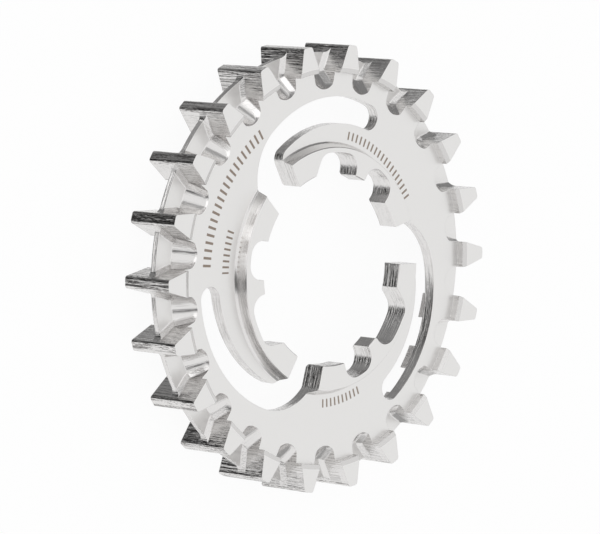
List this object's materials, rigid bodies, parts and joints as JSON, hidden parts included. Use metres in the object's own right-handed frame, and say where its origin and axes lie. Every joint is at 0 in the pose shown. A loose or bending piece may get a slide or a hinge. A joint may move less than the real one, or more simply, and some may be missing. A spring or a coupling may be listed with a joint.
{
  "type": "belt drive sprocket",
  "caption": "Rear bicycle sprocket for a toothed belt: wide straight teeth, a thin centre flange, mud ports, three spiral slots and a splined bore.",
  "frame": {"origin": "on the wheel axis, in the plane of the inner ends of the teeth, which the part rests on when it lies flat", "axes": "+Z along the wheel axis towards the outer, visible face; +X through the middle of one tooth"},
  "size_m": [0.0756, 0.075, 0.0108],
  "materials": {
    "steel": "satin, fine machining marks on the cut walls"
  },
  "bodies": {
    "root": {"belt_sprocket": "steel"}
  },
  "joints": []
}
